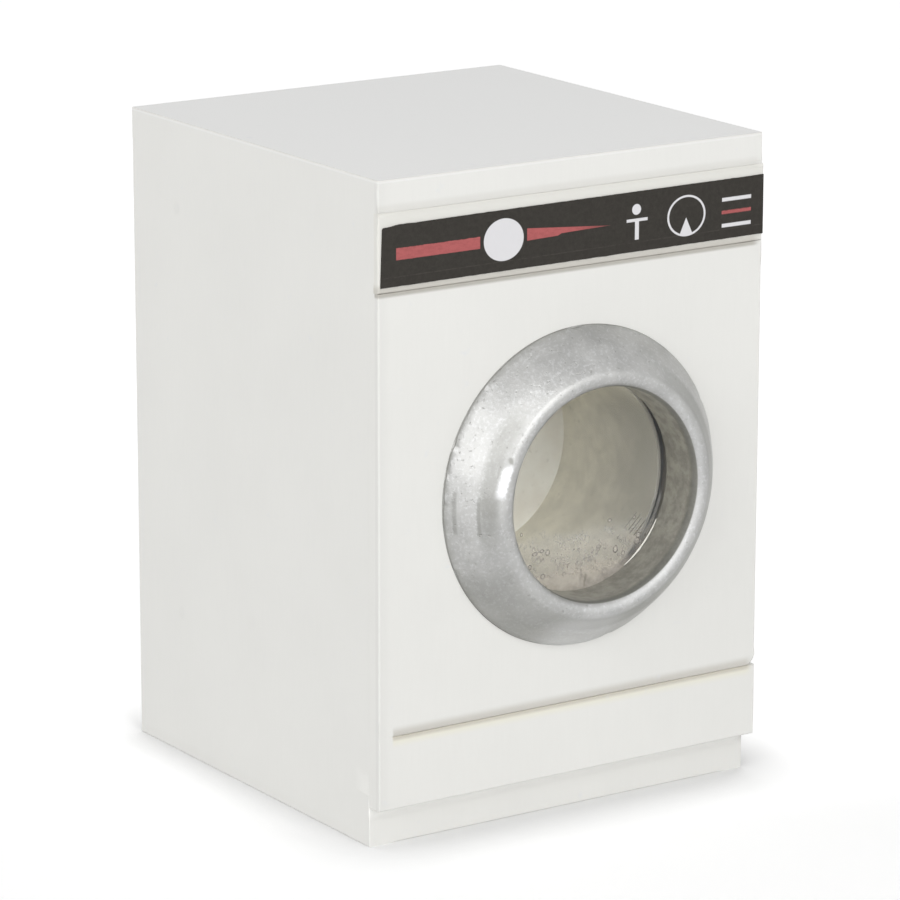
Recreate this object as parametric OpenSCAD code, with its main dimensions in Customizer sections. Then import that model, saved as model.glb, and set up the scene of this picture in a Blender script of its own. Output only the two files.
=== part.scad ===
// Toy washing machine: a dolls' house model of a front loader, at about 1:12.
// Painted wooden boards round a card drum, with a cast porthole ring on a door
// that turns on two hidden pins at its right edge. The front faces -Y and the
// origin is the middle of the underside. Left and right are as seen from the front.

/* [Body] */
// Width across the front
body_w = 50; // [46:0.5:56]
// Depth from the face of the front boards to the rear edges
body_d = 51; // [46:0.5:58]
// Height to the top of the worktop
body_h = 73.3; // [70:0.1:80]
// Thickness of the two side boards
side_t = 3; // [2.4:0.1:4]
// Thickness of the worktop
worktop_t = 3.5; // [2.5:0.1:5]
// Height of the base board, whose front edge is the plinth
base_h = 4.5; // [3:0.1:6]
// Thickness of the board that closes the back
back_t = 3; // [2:0.1:4]
// How far the back board is set in from the rear edges
back_inset = 8.3; // [2:0.1:10]
// Radius worn on the outer edges of the boards
edge_r = 0.4; // [0.2:0.05:0.6]

/* [Front boards] */
// Thickness of the fascia board and the kick board
front_t = 2; // [1.9:0.05:3]
// Height of the fascia board under the worktop
fascia_h = 8.55; // [7.5:0.05:9]
// Height of the kick board over the plinth
kick_h = 8.15; // [6:0.05:9]
// How far the front boards reach past the right side
front_overhang = 0.15; // [0:0.05:0.3]
// Thickness of the board behind the door
inner_front_t = 2; // [1.5:0.1:3]

/* [Door] */
// Gap over the door
gap_above = 0.1; // [0.1:0.01:0.5]
// Gap under the door
gap_below = 0.1; // [0.1:0.01:0.5]
// Clearance behind the door
gap_behind = 0.08; // [0.05:0.01:0.2]
// How far the hinge edge stops short of the other front boards
hinge_edge_inset = 0.05; // [0:0.05:0.2]
// Radius on the upper front edge of the door
door_top_r = 0.5; // [0.2:0.05:0.9]
// Radius on the lower front edge of the door
door_foot_r = 0.9; // [0.2:0.05:1.2]
// Radius worn on the lower right corner of the door
worn_corner_r = 1.2; // [0.5:0.1:2]

/* [Porthole] */
// Sideways place of the porthole centre
port_x = 0.8; // [-2:0.1:2]
// Height of the porthole centre
port_z = 37; // [35:0.1:39]
// Outer radius of the ring
ring_r = 17.8; // [16.5:0.1:18.5]
// Radius of the opening in the ring
ring_bore_r = 11.75; // [11:0.05:12.2]
// How far the ring stands out from the door
ring_h = 5.45; // [4.5:0.05:6]
// Height of the ring's upright foot, from which its outer slope rises
ring_foot_h = 0.3; // [0.1:0.05:0.8]
// Radius at which the ring's outer slope turns steeper
ring_shoulder_r = 15.9; // [15:0.1:16.5]
// Height at which the ring's outer slope turns steeper
ring_shoulder_h = 3.05; // [2.4:0.05:3.4]
// Radius of the crest, where the ring stands out furthest
ring_crest_r = 12.95; // [12.8:0.05:13.3]
// Radius of the round between the crest and the outer slope
ring_round_r = 1.25; // [0.8:0.05:1.6]
// Radius on the inner lip of the ring
ring_lip_r = 1.15; // [0.2:0.05:1.2]
// Radius of the hole in the door board
door_hole_r = 13.6; // [13:0.1:15]
// Radius of the clear pane
pane_r = 13.4; // [12.6:0.1:13.5]
// Thickness of the clear pane
pane_t = 0.8; // [0.4:0.1:1.2]

/* [Drum] */
// Inner radius of the drum tube
drum_r = 12; // [11:0.1:12.6]
// Wall of the drum tube
drum_wall = 0.5; // [0.4:0.1:1]
// Length of the drum tube
drum_len = 18; // [12:0.5:22]
// Radius of the opening that the drum sits in
drum_port_r = 14.2; // [13.8:0.1:16]
// Thickness of the board that carries the drum
drum_back_t = 2; // [1.5:0.1:3]

/* [Control label] */
// Length of the printed label
label_w = 49.8; // [44:0.1:50.4]
// Height of the label at its left end
label_h = 6.6; // [5:0.1:7.5]
// Extra height of the label at its right end, where it was cut askew
label_skew = 0.2; // [0:0.05:0.3]
// Thickness of the label
label_t = 0.15; // [0.1:0.05:0.3]
// How far the label hangs over the right edge
label_overhang = 0.05; // [0:0.05:0.4]
// Height of the label over the lower edge of the fascia
label_lift = 0.62; // [0.2:0.02:0.9]
// Corner radius of the label
label_corner_r = 0.2; // [0.1:0.05:0.6]

/* [Hinge] */
// Radius of the hinge pins
pin_r = 0.4; // [0.3:0.05:0.45]
// Radial clearance of the pins in the door
pin_clearance = 0.05; // [0.02:0.01:0.1]
// Distance of the pin axis from the hinge edge of the door
pin_inset = 0.9; // [0.8:0.05:0.95]
// Length of each pin inside its fixed board
pin_in_board = 4; // [2:0.5:5]
// Length of each pin inside the door
pin_in_door = 3.5; // [2:0.5:5]

/* [Nails] */
// Shank radius of the nails in the sides
nail_r = 0.35; // [0.25:0.05:0.5]
// Head radius of the nails
nail_head_r = 0.6; // [0.5:0.05:0.9]
// Thickness of the nail heads
nail_head_t = 0.3; // [0.2:0.05:0.5]
// Length of the nails
nail_len = 8; // [6:0.5:12]
// Depth of the heads under the painted surface
nail_sink = 0.2; // [0.1:0.05:0.4]
// Height of the lower nails
nail_low_z = 16.6; // [10:0.1:25]
// Height of the upper nails
nail_high_z = 63.4; // [55:0.1:66]

/* [Hidden] */
$fn = 96;
EDGE_FN = 32;
eps = 0.01;

left_x = -body_w / 2;
right_x = body_w / 2;
front_y = -body_d / 2;
rear_y = body_d / 2;
carcass_front_y = front_y + front_t;
carcass_d = rear_y - carcass_front_y;
carcass_top_z = body_h - worktop_t;
inside_w = body_w - 2 * side_t;
inside_h = carcass_top_z - base_h;

fascia_z = carcass_top_z - fascia_h;
kick_top_z = base_h + kick_h;
front_w = body_w + front_overhang;
door_w = front_w - hinge_edge_inset;
door_right_x = left_x + door_w;
door_bottom_z = kick_top_z + gap_below;
door_top_z = fascia_z - gap_above;
door_t = front_t - gap_behind;
door_h = door_top_z - door_bottom_z;

pin_x = door_right_x - pin_inset;
pin_y = front_y + front_t / 2;
pin_hole_r = pin_r + pin_clearance;
pin_hole_end = 0.3;
hinge_sweep_r = front_t / 2 - 0.05;

drum_back_y = carcass_front_y + drum_len;
back_y = rear_y - back_inset - back_t;
nail_y = back_y + back_t / 2;

PAINT = [0.91, 0.91, 0.89];
BARE_WOOD = [0.80, 0.69, 0.53];
DRUM_CARD = [0.80, 0.78, 0.72];
PRINT_BLACK = [0.10, 0.10, 0.10];
CAST_METAL = [0.70, 0.71, 0.72];
STEEL = [0.62, 0.63, 0.65];
CLEAR = [0.85, 0.90, 0.92, 0.35];

// ---- shared shapes ----

// A rectangle from the origin with its four corners rounded.
module rounded_rect(w, h, r) {
    translate([r, 0]) square([w - 2 * r, h]);
    translate([0, r]) square([w, h - 2 * r]);
    for (x = [r, w - r], y = [r, h - r])
        translate([x, y]) circle(r, $fn = EDGE_FN);
}

// A board from the origin with all its edges eased: where three rounded bars cross.
module eased_board(size, r = edge_r) {
    intersection() {
        linear_extrude(size.z) rounded_rect(size.x, size.y, r);
        translate([0, size.y, 0])
            rotate([90, 0, 0]) linear_extrude(size.y) rounded_rect(size.x, size.z, r);
        rotate([90, 0, 90]) linear_extrude(size.x) rounded_rect(size.y, size.z, r);
    }
}

// Lays a shape drawn round Z over to the porthole axis: its base at depth y, its top forward.
module on_port_axis(y) {
    translate([port_x, y, port_z]) rotate([90, 0, 0]) children();
}

// One nail driven in along +X, with its head at the origin.
module nail() {
    rotate([0, 90, 0]) {
        cylinder(h = nail_head_t, r = nail_head_r);
        cylinder(h = nail_len, r = nail_r);
    }
}

// The holes that the nails leave: the head's recess out to the surface, and the shank's hole.
module nail_hole() {
    rotate([0, 90, 0]) {
        translate([0, 0, -nail_sink - eps]) cylinder(h = nail_sink + nail_head_t + eps, r = nail_head_r);
        cylinder(h = nail_len, r = nail_r);
    }
}

// Its children at every nail, those on the right side turned to face inwards.
module at_nails() {
    for (z = [nail_low_z, nail_high_z]) {
        translate([left_x + nail_sink, nail_y, z]) children();
        translate([right_x - nail_sink, nail_y, z]) rotate([0, 0, 180]) children();
    }
}

// ---- cabinet ----

module side_board(x) {
    difference() {
        translate([x, carcass_front_y, 0]) cube([side_t, carcass_d, carcass_top_z]);
        at_nails() nail_hole();
    }
}

module left_side() {
    color(PAINT) side_board(left_x);
}

module right_side() {
    color(PAINT) side_board(right_x - side_t);
}

module worktop() {
    color(PAINT) translate([left_x, front_y, carcass_top_z]) eased_board([body_w, body_d, worktop_t]);
}

module base_board() {
    color(PAINT) translate([-inside_w / 2, carcass_front_y, 0]) cube([inside_w, carcass_d, base_h]);
}

module back_board() {
    color(PAINT) difference() {
        translate([-inside_w / 2, back_y, base_h]) cube([inside_w, back_t, inside_h]);
        at_nails() nail_hole();
    }
}

// The board behind the door, with a clear ring of space round the drum's mouth.
module inner_front() {
    color(BARE_WOOD) difference() {
        translate([-inside_w / 2, carcass_front_y, base_h]) cube([inside_w, inner_front_t, inside_h]);
        on_port_axis(carcass_front_y + inner_front_t + eps)
            cylinder(h = inner_front_t + 2 * eps, r = drum_port_r);
    }
}

// The cross board that carries the drum and closes its far end.
module drum_back() {
    color(BARE_WOOD)
        translate([-inside_w / 2, drum_back_y, base_h]) cube([inside_w, drum_back_t, inside_h]);
}

module drum_tube() {
    color(DRUM_CARD) on_port_axis(drum_back_y) difference() {
        cylinder(h = drum_len, r = drum_r + drum_wall);
        translate([0, 0, -eps]) cylinder(h = drum_len + 2 * eps, r = drum_r);
    }
}

module fascia_board() {
    color(PAINT) difference() {
        translate([left_x, front_y, fascia_z]) eased_board([front_w, front_t, fascia_h]);
        translate([pin_x, pin_y, fascia_z - eps]) cylinder(h = pin_in_board + eps, r = pin_r);
    }
}

module kick_board() {
    color(PAINT) difference() {
        translate([left_x, front_y, base_h]) eased_board([front_w, front_t, kick_h]);
        translate([pin_x, pin_y, kick_top_z - pin_in_board])
            cylinder(h = pin_in_board + eps, r = pin_r);
    }
}

// The printed label, cut a little taller at its right end.
module control_label() {
    right = right_x + label_overhang;
    left = right - label_w;
    bottom = fascia_z + label_lift;
    top = bottom + label_h;
    r = label_corner_r;
    corners = [
        [left + r, bottom + r], [right - r, bottom + r],
        [right - r, top + label_skew - r], [left + r, top - r]
    ];
    color(PRINT_BLACK) translate([0, front_y, 0]) rotate([90, 0, 0]) linear_extrude(label_t)
        hull() for (c = corners) translate(c) circle(r, $fn = 24);
}

// ---- hinge ----

module upper_hinge_pin() {
    color(STEEL) translate([pin_x, pin_y, door_top_z - pin_in_door])
        cylinder(h = pin_in_door + gap_above + pin_in_board, r = pin_r);
}

module lower_hinge_pin() {
    color(STEEL) translate([pin_x, pin_y, kick_top_z - pin_in_board])
        cylinder(h = pin_in_board + gap_below + pin_in_door, r = pin_r);
}

// ---- nails ----

module side_nails() {
    color(STEEL) at_nails() nail();
}

// ---- door ----

// The door's shape seen from above: the rear of its hinge edge is rounded about the pin.
module door_plan() {
    difference() {
        translate([left_x, front_y]) rounded_rect(door_w, door_t, edge_r);
        difference() {
            translate([pin_x, pin_y]) square([pin_inset + 1, front_t]);
            translate([pin_x, pin_y]) circle(hinge_sweep_r);
        }
    }
}

// What a board that lies towards +x and +y loses where its corner at the origin is rounded.
module corner_loss(r) {
    difference() {
        translate([-1, -1]) square(r + 1);
        translate([r, r]) circle(r);
    }
}

// The door's shape seen from the front: its lower right corner is worn round.
module door_face() {
    difference() {
        translate([left_x, door_bottom_z]) rounded_rect(door_w, door_h, edge_r);
        translate([door_right_x, door_bottom_z]) mirror([1, 0]) corner_loss(worn_corner_r);
    }
}

// The door's shape seen from its end: both front edges are rounded.
module door_end() {
    difference() {
        translate([front_y, door_bottom_z]) square([door_t, door_h]);
        translate([front_y, door_bottom_z]) corner_loss(door_foot_r);
        translate([front_y, door_top_z]) mirror([0, 1]) corner_loss(door_top_r);
    }
}

module pin_bore(z) {
    translate([pin_x, pin_y, z]) cylinder(h = pin_in_door + pin_hole_end + eps, r = pin_hole_r);
}

module door_board() {
    color(PAINT) difference() {
        intersection() {
            translate([0, 0, door_bottom_z]) linear_extrude(door_h) door_plan();
            translate([0, carcass_front_y, 0]) rotate([90, 0, 0]) linear_extrude(front_t) door_face();
            translate([left_x, 0, 0]) rotate([90, 0, 90]) linear_extrude(door_w) door_end();
        }
        on_port_axis(carcass_front_y) cylinder(h = 2 * front_t, r = door_hole_r);
        pin_bore(door_bottom_z - eps);
        pin_bore(door_top_z - pin_in_door - pin_hole_end);
    }
}

// Half of the ring's section: a low foot, a slope that eases at its shoulder and runs into the
// round beside the crest, and a rounded inner lip over the straight bore.
module ring_section() {
    round_centre = [ring_crest_r, ring_h - ring_round_r];
    lip_centre = [ring_bore_r + ring_lip_r, ring_h - ring_lip_r];
    foot = [ring_r, ring_foot_h];
    shoulder = [ring_shoulder_r, ring_shoulder_h];
    to_shoulder = shoulder - round_centre;
    slope_angle = atan2(to_shoulder.y, to_shoulder.x) + acos(ring_round_r / norm(to_shoulder));
    slope_top = round_centre + ring_round_r * [cos(slope_angle), sin(slope_angle)];
    polygon([
        [ring_bore_r, 0], [ring_r, 0], foot, shoulder, slope_top, round_centre,
        [ring_crest_r, ring_h], [lip_centre.x, ring_h], lip_centre, [ring_bore_r, lip_centre.y]
    ]);
    intersection() {
        translate(round_centre) circle(ring_round_r);
        translate(round_centre) square(ring_round_r);
    }
    translate(lip_centre) circle(ring_lip_r);
}

module porthole_ring() {
    color(CAST_METAL) on_port_axis(front_y) rotate_extrude() ring_section();
}

module window_pane() {
    color(CLEAR) on_port_axis(front_y + pane_t) cylinder(h = pane_t, r = pane_r);
}

left_side();
right_side();
worktop();
base_board();
back_board();
inner_front();
drum_back();
drum_tube();
fascia_board();
control_label();
kick_board();
upper_hinge_pin();
lower_hinge_pin();
side_nails();
door_board();
porthole_ring();
window_pane();
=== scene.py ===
"""Toy washing machine for a dolls' house: painted boards, a cast porthole ring and a printed strip.

Laid out as an add-on: each piece or group of pieces has an operator, and the sizes and colours that
a user would change are in property groups.
"""

import math

import bmesh
import bpy
from bpy.props import FloatProperty, FloatVectorProperty, IntProperty, PointerProperty
from bpy.types import Operator, Panel, PropertyGroup
from mathutils import Matrix, Vector, noise


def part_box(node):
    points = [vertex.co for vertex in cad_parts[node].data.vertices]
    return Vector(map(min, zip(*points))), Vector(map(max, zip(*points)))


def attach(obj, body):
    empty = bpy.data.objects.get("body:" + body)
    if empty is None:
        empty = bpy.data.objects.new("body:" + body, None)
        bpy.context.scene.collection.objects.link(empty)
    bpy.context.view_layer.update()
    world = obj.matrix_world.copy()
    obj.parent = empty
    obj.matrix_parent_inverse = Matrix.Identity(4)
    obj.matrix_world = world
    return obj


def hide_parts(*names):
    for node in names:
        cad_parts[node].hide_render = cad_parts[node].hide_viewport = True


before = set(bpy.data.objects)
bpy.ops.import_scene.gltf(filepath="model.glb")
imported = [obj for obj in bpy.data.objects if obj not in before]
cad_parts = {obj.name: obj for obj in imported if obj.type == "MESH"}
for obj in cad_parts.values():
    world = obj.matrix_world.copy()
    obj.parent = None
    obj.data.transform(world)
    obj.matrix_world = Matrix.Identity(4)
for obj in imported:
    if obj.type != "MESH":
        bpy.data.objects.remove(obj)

bl_info = {
    "name": "Toy Washing Machine",
    "version": (1, 0, 0),
    "blender": (4, 5, 0),
    "location": "View3D > Sidebar > Toy Washer",
    "description": "Builds a dolls' house washing machine, piece by piece",
    "category": "Add Mesh",
}

MM = 0.001
SHARP_DEGREES = 38.0
CABINET = "cabinet"
DOOR = "door"

# Fixed measures in millimetres, which follow from how the toy was painted and put together.
NAIL_HEAD = 0.6  # radius of a filled nail head
FILLED_LENGTH = 1.7  # how far paint closes the joints at the door's free end
HOLE_SPACE = 0.2  # space round the pane in the door's hole
BAND_FADE = 1.3  # how far from the right side the front's bands of grime and painted light and shade fade out
HAND_CUT = 0.035  # how far the strip's edges wander
HAND_CUT_STEP = 0.5  # distance between the points along them

# Shares from 0 to 1, and a density.
JOINT_FILL = 0.8  # how much of the round under the worktop paint fills
TOP_FILL = 0.68  # the same for the round along the door's top
FOOT_FILL = 0.82  # the same for the round along its foot
FREE_END_FILL = 0.75  # thickness of the paint behind the door's free edge, against the gap's
BEAD_FLATNESS = 0.22  # height of a glue bubble against its width
POINTS_PER_M2 = 3.0e5  # places for glue bubbles, of which the first ones are used

# The marks on the control strip: bars by left, right, low and high, and rounds by place and radius.
PRINT_SLIP = (-0.13, 0.06)  # how far the whole print is off its place, across and up
RED_BAR = (-22.72, -12.18, 64.65, 65.92)
RED_DASH = (19.52, 23.5, 64.74, 65.12)
TAIL_ENDS = (-6.17, 4.9)
TAIL_EDGES = (64.82, 66.14)  # heights at its left end
SIGN_BARS = ((6.79, 9.56, 65.25, 65.58), (7.9, 8.42, 63.26, 65.3))  # they make a T
WHITE_LINES = ((19.55, 23.5, 66.13, 66.54), (19.55, 23.5, 63.25, 63.66))
DISC = (-9.17, 65.27, 2.29)
SIGN_DOT = (8.09, 66.58, 0.59)  # over the T
DIAL = (14.76, 65.14, 2.44)
DIAL_LINE = 0.125  # half the width of the dial's ring
PRINT_EDGE = 0.07  # how soft the edges of the print are

# The camera, in millimetres and degrees.
CAMERA_PLACE = Vector((-286.6955, -431.5430, 169.7256))
CAMERA_AIM = Vector((0.7718, -0.3598, 35.4972))
CAMERA_ROLL = 0.08


def box_mm(node):
    """The lowest and highest corner of a CAD node, in millimetres."""
    low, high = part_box(node)
    return Vector(low) / MM, Vector(high) / MM


BODY_LOW = Vector((box_mm("left_side")[0].x, box_mm("worktop")[0].y, 0.0))
BODY_HIGH = box_mm("worktop")[1]
RING_LOW, RING_HIGH = box_mm("porthole_ring")
PORT_X = (RING_LOW.x + RING_HIGH.x) / 2
PORT_Z = (RING_LOW.z + RING_HIGH.z) / 2
RING_RADIUS = (RING_HIGH.x - RING_LOW.x) / 2
RING_HEIGHT = RING_HIGH.y - RING_LOW.y
FRONT_Y = RING_HIGH.y
PANE_LOW, PANE_HIGH = box_mm("window_pane")
PANE_RADIUS = (PANE_HIGH.x - PANE_LOW.x) / 2
NAIL_LOW, NAIL_HIGH = box_mm("side_nails")


# ---- sizes and colours that a user would change ----


def length(name, description, default_mm):
    """A length property, given in millimetres and kept in metres."""
    return FloatProperty(
        name=name, description=description, default=default_mm * MM, min=0.0,
        precision=5, unit="LENGTH", subtype="DISTANCE",
    )


def colour(name, description, default):
    """A linear colour property."""
    return FloatVectorProperty(
        name=name, description=description, default=default, size=3, min=0.0, max=1.0,
        subtype="COLOR",
    )


def amount(name, description, default, high=1.0):
    """A plain number property."""
    return FloatProperty(name=name, description=description, default=default, min=0.0, max=high)


class WasherSizes(PropertyGroup):
    """Sizes of the worn edges, the casting and the small marks."""

    edge_radius: length("Edge radius", "Radius worn on the outer edges of the boards", 0.4)
    front_edge: length("Front edge", "Radius on the upright edges of the front", 0.22)
    joint_radius: length("Joint radius", "Radius on the edges beside the painted joints", 0.5)
    foot_radius: length("Foot radius", "Radius on the lowest edges", 0.15)
    worn_corner: length("Worn corner", "Radius worn on the door's lower right corner", 1.35)
    worktop_radius: length("Worktop radius", "Radius on the worktop's upper edges", 0.06)
    door_top: length("Door top", "Radius on the door's upper front edge", 0.5)
    door_foot: length("Door foot", "Radius on the door's lower front edge", 0.9)
    gap_fill: length("Gap fill", "Paint that narrows the gaps round the door", 0.096)
    hinge_radius: length("Hinge radius", "Radius on the back of the door's hinge edge", 0.9)
    ring_bore: length("Ring bore", "Radius of the opening in the cast ring", 11.75)
    ring_corner: length("Ring corner", "Where the ring's crown and slope would meet", 13.46)
    ring_foot: length("Ring foot", "Height of the cast ring's upright foot", 0.3)
    ring_shoulder: length("Ring shoulder", "Where the ring's slope turns steeper", 15.9)
    shoulder_height: length("Shoulder height", "Height at which the ring's slope turns", 3.05)
    shoulder_round: length("Shoulder round", "Radius between the two parts of the slope", 11.0)
    ring_round: length("Ring round", "Radius between the ring's crown and slope", 1.25)
    ring_lip: length("Ring lip", "Radius on the cast ring's inner lip", 1.15)
    casting_wave: length("Casting wave", "How far the cast surface sinks in its hollows", 0.12)
    casting_nick: length("Casting nick", "Depth of the nicks in the cast ring's foot", 0.16)
    drum_bore: length("Drum bore", "Inner radius of the drum tube", 12.0)
    bubble_radius: length("Bubble radius", "Radius of the largest glue bubbles on the pane", 0.5)


class WasherColours(PropertyGroup):
    """Colours of the paint, metal, print and lining."""

    paint: colour("Paint", "White enamel on the boards", (0.745, 0.742, 0.715))
    # painted light: a lighter copy of the enamel, laid on the worktop's top face
    paint_top: colour("Worktop paint", "White enamel on the worktop", (0.80, 0.80, 0.79))
    # grime and painted shade: darker enamel in the joint under the worktop and along the gaps round
    # the door
    paint_grime_and_shade: colour("Grimy paint", "Enamel in and beside the joints", (0.52, 0.50, 0.455))
    # painted shade: darker enamel in the slot over the kick board and on the worktop's top edges
    paint_shaded: colour("Worn edge", "Yellowed enamel along the kick board", (0.53, 0.50, 0.43))
    # painted light: lighter enamel on the plinth under the kick board, where the kick's shadow
    # falls
    paint_lit_plinth: colour("Fresh paint", "Enamel kept white under the kick", (0.97, 0.97, 0.94))
    paint_smudge: colour("Smudge", "Faint bluish marks of handling", (0.66, 0.68, 0.72))
    metal: colour("Cast metal", "Satin cast metal of the ring", (0.50, 0.50, 0.49))
    # oxide in the pits, and also painted shade and painted reflections on the ring
    metal_oxide_and_shade: colour("Metal pits", "Oxide in the pits of the casting", (0.24, 0.24, 0.22))
    metal_bore: colour("Unpolished metal", "Rough metal inside the ring", (0.46, 0.45, 0.41))
    # bright grains, and also painted highlights on the ring's crown, lip and bottom
    metal_worn_and_highlight: colour("Worn metal", "Metal rubbed bright on the lip", (0.86, 0.87, 0.89))
    drum_wall: colour("Drum wall", "Grey lining of the drum tube", (0.80, 0.77, 0.66))
    drum_end: colour("Drum end", "Cream board that closes the drum", (0.98, 0.95, 0.87))
    raw_wood: colour("Primed wood", "Thinly primed board behind the door", (0.55, 0.50, 0.42))
    raw_wood_dark: colour("Primed grain", "Grain of the primed board", (0.40, 0.34, 0.26))
    pane: colour("Pane", "Clear pane", (0.80, 0.82, 0.82))
    glue: colour("Glue", "Dried glue on the pane", (0.72, 0.67, 0.605))
    glue_rim: colour("Glue rim", "Dark rim of a glue bubble", (0.10, 0.09, 0.07))
    # partly painted highlight: the near-white bead stands in for the highlight on the pane's edge
    glue_bead_highlight: colour("Glue bead", "Shiny bead of glue at the pane's rim", (0.95, 0.94, 0.90))
    glue_cloudy: colour("Cloudy glue", "Clouded parts of that bead", (0.72, 0.70, 0.62))
    print_black: colour("Print black", "Black of the control strip", (0.036, 0.033, 0.029))
    print_white: colour("Print white", "White marks of the control strip", (0.67, 0.665, 0.68))
    print_faint: colour("Faint print", "White marks where the ink is thin", (0.60, 0.59, 0.60))
    print_red: colour("Print red", "Red marks of the control strip", (0.44, 0.12, 0.12))
    steel: colour("Steel", "Hinge pins and nails", (0.52, 0.52, 0.53))


class WasherStage(PropertyGroup):
    """Camera and light."""

    lens: amount("Lens", "Focal length of the camera in millimetres", 190.3, 500.0)
    key_power: amount("Key light", "Power of the light on the camera's right in watts", 3.72, 50.0)
    side_power: amount("Side light", "Power of the light on the camera's left in watts", 4.25, 50.0)
    world_low: amount("Low sky", "Strength of the world's light near the horizon", 0.69, 5.0)
    world_high: amount("High sky", "Strength of the world's light overhead", 0.46, 5.0)
    near_lift: amount("Near lift", "White added to the floor before the object", 0.26, 5.0)
    far_lift: amount("Far lift", "White added to the floor behind the object", 0.5, 5.0)
    shade_reach: length("Shade reach", "How far the soft shadow spreads over the floor", 9.5)
    ceiling: amount("Ceiling", "Strength of the white backdrop overhead", 0.95)
    floor_light: colour("Floor", "Pale paper that the toy stands on", (0.82, 0.82, 0.82))
    floor_dark: colour("Floor's tooth", "Hollows in that paper", (0.80, 0.80, 0.80))
    bubble_seed: IntProperty(name="Bubble seed", description="Seed of the glue bubbles", default=4)


def share_of(value, low, high):
    """0 at low and 1 at high, in a straight line between them. The ends may be in either order."""
    return min(1.0, max(0.0, (value - low) / (high - low)))


def tinted(tint, *factors):
    """A colour times one factor, or times one for each channel, and never over white."""
    factors = factors * 3 if len(factors) == 1 else factors
    return tuple(min(1.0, c * factor) for c, factor in zip(tint, factors))


# ---- node trees written as expressions ----


class Value:
    """An output socket. Arithmetic on it adds Math nodes to its tree."""

    def __init__(self, build, socket):
        self.build = build
        self.socket = socket

    def other(self, name):
        """Another output of the same node."""
        return Value(self.build, self.socket.node.outputs[name])

    def maths(self, operation, *values, clamp=False):
        settings = {"operation": operation, "use_clamp": clamp}
        return self.build.node("ShaderNodeMath", settings, dict(enumerate(values)))

    def __add__(self, other):
        return self.maths("ADD", self, other)

    def __mul__(self, other):
        return self.maths("MULTIPLY", self, other)

    def __sub__(self, other):
        return self.maths("SUBTRACT", self, other)

    def __rsub__(self, other):
        return self.maths("SUBTRACT", other, self)

    def __truediv__(self, other):
        return self.maths("DIVIDE", self, other)

    def __pow__(self, other):
        return self.maths("POWER", self, other)

    def __gt__(self, other):
        return self.maths("GREATER_THAN", self, other)

    def __lt__(self, other):
        return self.maths("LESS_THAN", self, other)

    def __abs__(self):
        return self.maths("ABSOLUTE", self)

    __radd__ = __add__
    __rmul__ = __mul__

    def clamp(self):
        return self.maths("ADD", self, 0.0, clamp=True)

    def ramp(self, low, high):
        """0 at low and 1 at high, smooth between them. The ends may be in either order."""
        sockets = {"Value": self, "From Min": low, "From Max": high}
        return self.build.node("ShaderNodeMapRange", {"interpolation_type": "SMOOTHSTEP"}, sockets)

    def inside(self, low, high, soft):
        """1 between low and high, with edges that are soft wide."""
        half = soft / 2
        return self.ramp(low - half, low + half) * self.ramp(high + half, high - half)


class Build:
    """A node tree under construction."""

    def __init__(self, tree):
        self.tree = tree

    def node(self, kind, settings=None, sockets=None):
        """Adds a node: first its settings, then the values or links of its sockets."""
        made = self.tree.nodes.new(kind)
        for name, value in (settings or {}).items():
            setattr(made, name, value)
        for key, value in (sockets or {}).items():
            self.feed(made.inputs[key], value)
        outputs = [o for o in made.outputs if o.enabled]
        return Value(self, outputs[0]) if outputs else made

    def feed(self, socket, value):
        """Links an input to a value or sets it to a number. None leaves it alone."""
        if isinstance(value, Value):
            self.tree.links.new(value.socket, socket)
        elif value is not None:
            socket.default_value = value

    def vector(self, operation, *values):
        """A Vector Math node. A number sets the Scale socket of SCALE."""
        sockets = dict(enumerate(values))
        if operation == "SCALE":
            sockets = {0: values[0], "Scale": values[1]}
        return self.node("ShaderNodeVectorMath", {"operation": operation}, sockets)

    def reach(self, x, y, z=0.0):
        """The length of a vector."""
        return self.vector("LENGTH", self.join(x, y, z)).other("Value")

    def shown(self):
        """1 for the rays that see the backdrop: the camera's, mirrored and refracted ones."""
        path = self.node("ShaderNodeLightPath")
        rays = path.other("Is Camera Ray") + path.other("Is Glossy Ray")
        return (rays + path.other("Is Transmission Ray")).clamp()

    def split(self, vector):
        x = self.node("ShaderNodeSeparateXYZ", None, {0: vector})
        return x, x.other("Y"), x.other("Z")

    def join(self, x, y, z):
        return self.node("ShaderNodeCombineXYZ", None, {0: x, 1: y, 2: z})

    def noise(self, vector, scale, detail=2.0, rough=0.5, offset=None):
        """Fractal noise about 0.5."""
        if offset is not None:
            vector = self.vector("ADD", vector, offset)
        sockets = {"Vector": vector, "Scale": scale, "Detail": detail, "Roughness": rough}
        return self.node("ShaderNodeTexNoise", None, sockets)

    def mix(self, factor, first, second):
        """Mixes two colours. Sockets 6 and 7 are the node's two inputs for colours."""
        first, second = (c if isinstance(c, Value) else (*c, 1.0) for c in (first, second))
        return self.node("ShaderNodeMix", {"data_type": "RGBA"}, {0: factor, 6: first, 7: second})


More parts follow.
